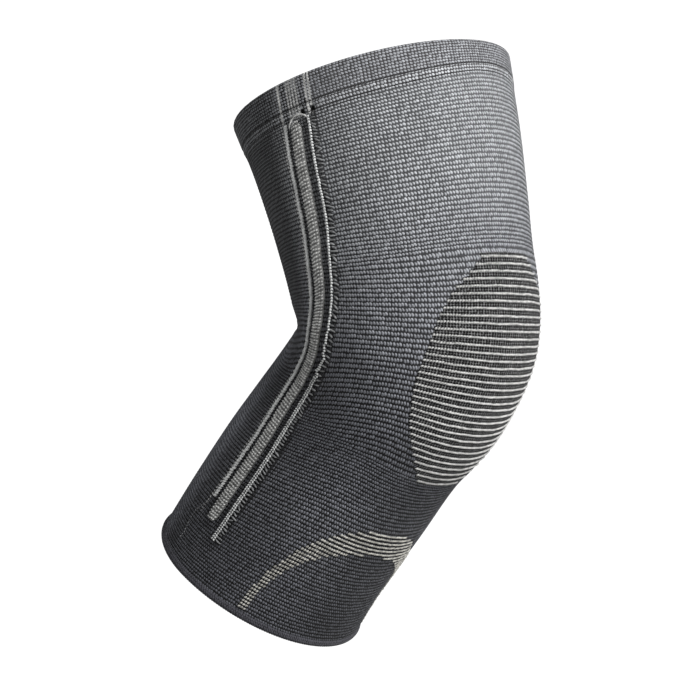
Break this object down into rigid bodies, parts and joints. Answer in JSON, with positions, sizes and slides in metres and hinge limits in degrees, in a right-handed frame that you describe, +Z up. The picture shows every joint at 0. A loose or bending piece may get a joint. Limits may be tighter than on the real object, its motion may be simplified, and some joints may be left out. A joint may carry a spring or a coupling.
{
  "type": "knee sleeve",
  "caption": "Knitted knee sleeve in its worn, bent shape, with a turned-over cuff, an overlocked hem, a ribbed kneecap panel, a shin arch and piped side stay channels.",
  "frame": {"origin": "inside the sleeve, where the axis of the thigh crosses the axis of the shin, which is where the knee holds it", "axes": "+Z up, -Y towards the front of the knee, -X towards the outer side of a right leg"},
  "size_m": [0.134, 0.203, 0.2942],
  "materials": {
    "body_knit": "grey elastic weft knit with fine light dots on every course",
    "cuff_knit": "finer, lighter grey double knit",
    "hem_thread": "dark blue-grey overlock thread",
    "panel_knit": "dark knit with a raised white yarn on every course",
    "arch_knit": "grey knit with light beige stitches",
    "channel_rib": "light grey rib knit",
    "piping_yarn": "light twisted yarn"
  },
  "bodies": {
    "root": {"sleeve_body": "body_knit", "top_cuff": "cuff_knit", "bottom_hem": "hem_thread", "kneecap_panel": "panel_knit", "shin_arch": "arch_knit", "outer_stay_channel": "channel_rib", "outer_front_piping": "piping_yarn", "outer_back_piping": "piping_yarn", "inner_stay_channel": "channel_rib", "inner_front_piping": "piping_yarn", "inner_back_piping": "piping_yarn"}
  },
  "joints": []
}
